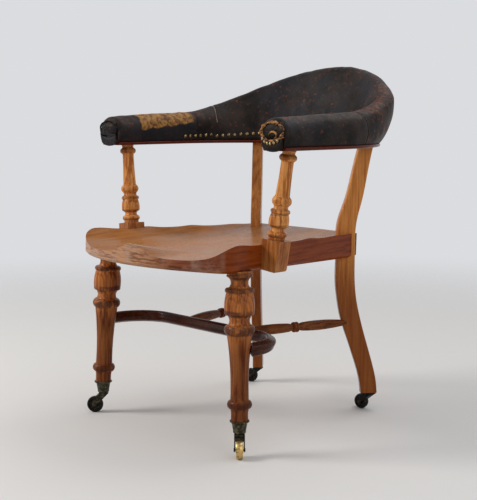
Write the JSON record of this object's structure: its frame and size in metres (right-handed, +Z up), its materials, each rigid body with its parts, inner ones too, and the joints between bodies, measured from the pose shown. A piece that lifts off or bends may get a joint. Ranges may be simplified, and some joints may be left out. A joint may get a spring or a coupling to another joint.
{
  "type": "captains desk chair on casters",
  "caption": "Wooden captain's chair with a saddled seat, turned front legs, sabre rear legs, a leather-padded horseshoe rail and swivelling brass casters.",
  "frame": {"origin": "on the floor, below the middle of the chair's box in plan", "axes": "+Z up, -Y the way the sitter faces, +X the sitter's left"},
  "size_m": [0.644, 0.7231, 0.851],
  "materials": {
    "seat_wood": "satin",
    "turned_wood": "gloss",
    "golden_wood": "gloss",
    "red_wood": "gloss",
    "dark_wood": "satin",
    "leather": "satin",
    "piping_leather": "satin",
    "dark_brass": "satin",
    "bright_brass": "polished",
    "iron": "satin"
  },
  "bodies": {
    "frame": {"arm_pad_left": "leather", "arm_pad_right": "leather", "arm_post_left": "turned_wood", "arm_post_right": "turned_wood", "back_pad": "leather", "facing_left": "leather", "facing_right": "leather", "front_caster_cup_left": "dark_brass", "front_caster_cup_right": "dark_brass", "front_leg_left": "turned_wood", "front_leg_right": "turned_wood", "hoop_stretcher": "dark_wood", "piping_left": "piping_leather", "piping_right": "piping_leather", "rail_back": "red_wood", "rail_left": "red_wood", "rail_right": "red_wood", "rear_caster_plate_left": "dark_brass", "rear_caster_plate_right": "dark_brass", "rear_leg_left": "golden_wood", "rear_leg_right": "golden_wood", "seat_board_centre": "seat_wood", "seat_board_left": "seat_wood", "seat_board_right": "seat_wood", "side_stretcher_left": "dark_wood", "side_stretcher_right": "dark_wood"},
    "front_left_horn": {"front_caster_horn_left": "dark_brass", "front_caster_axle_left": "iron", "front_caster_pin_left": "iron"},
    "front_left_wheel": {"front_caster_wheel_left": "bright_brass"},
    "front_right_horn": {"front_caster_horn_right": "dark_brass", "front_caster_axle_right": "iron", "front_caster_pin_right": "iron"},
    "front_right_wheel": {"front_caster_wheel_right": "dark_brass"},
    "rear_left_horn": {"rear_caster_horn_left": "dark_brass", "rear_caster_axle_left": "iron", "rear_caster_pin_left": "iron"},
    "rear_left_wheel": {"rear_caster_wheel_left": "dark_brass"},
    "rear_right_horn": {"rear_caster_horn_right": "dark_brass", "rear_caster_axle_right": "iron", "rear_caster_pin_right": "iron"},
    "rear_right_wheel": {"rear_caster_wheel_right": "dark_brass"}
  },
  "joints": [
    {"name": "front_left_swivel", "type": "hinge", "parent": "frame", "child": "front_left_horn", "pos_m": [0.24223, -0.2456, 0.045], "axis": [0, 0, 1], "continuous": true},
    {"name": "front_left_roll", "type": "hinge", "parent": "front_left_horn", "child": "front_left_wheel", "pos_m": [0.25733, -0.26018, 0.02], "axis": [-0.6947, -0.7193, 0], "continuous": true},
    {"name": "front_right_swivel", "type": "hinge", "parent": "frame", "child": "front_right_horn", "pos_m": [-0.24223, -0.2456, 0.045], "axis": [0, 0, 1], "continuous": true},
    {"name": "front_right_roll", "type": "hinge", "parent": "front_right_horn", "child": "front_right_wheel", "pos_m": [-0.25783, -0.25965, 0.02], "axis": [-0.6691, 0.7431, 0], "continuous": true},
    {"name": "rear_left_swivel", "type": "hinge", "parent": "frame", "child": "rear_left_horn", "pos_m": [0.19397, 0.24348, 0.04], "axis": [0, 0, 1], "continuous": true},
    {"name": "rear_left_roll", "type": "hinge", "parent": "rear_left_horn", "child": "rear_left_wheel", "pos_m": [0.17399, 0.24278, 0.0185], "axis": [-0.0349, 0.9994, 0], "continuous": true},
    {"name": "rear_right_swivel", "type": "hinge", "parent": "frame", "child": "rear_right_horn", "pos_m": [-0.19397, 0.24348, 0.04], "axis": [0, 0, 1], "continuous": true},
    {"name": "rear_right_roll", "type": "hinge", "parent": "rear_right_horn", "child": "rear_right_wheel", "pos_m": [-0.2121, 0.23503, 0.0185], "axis": [-0.4226, 0.9063, 0], "continuous": true}
  ]
}
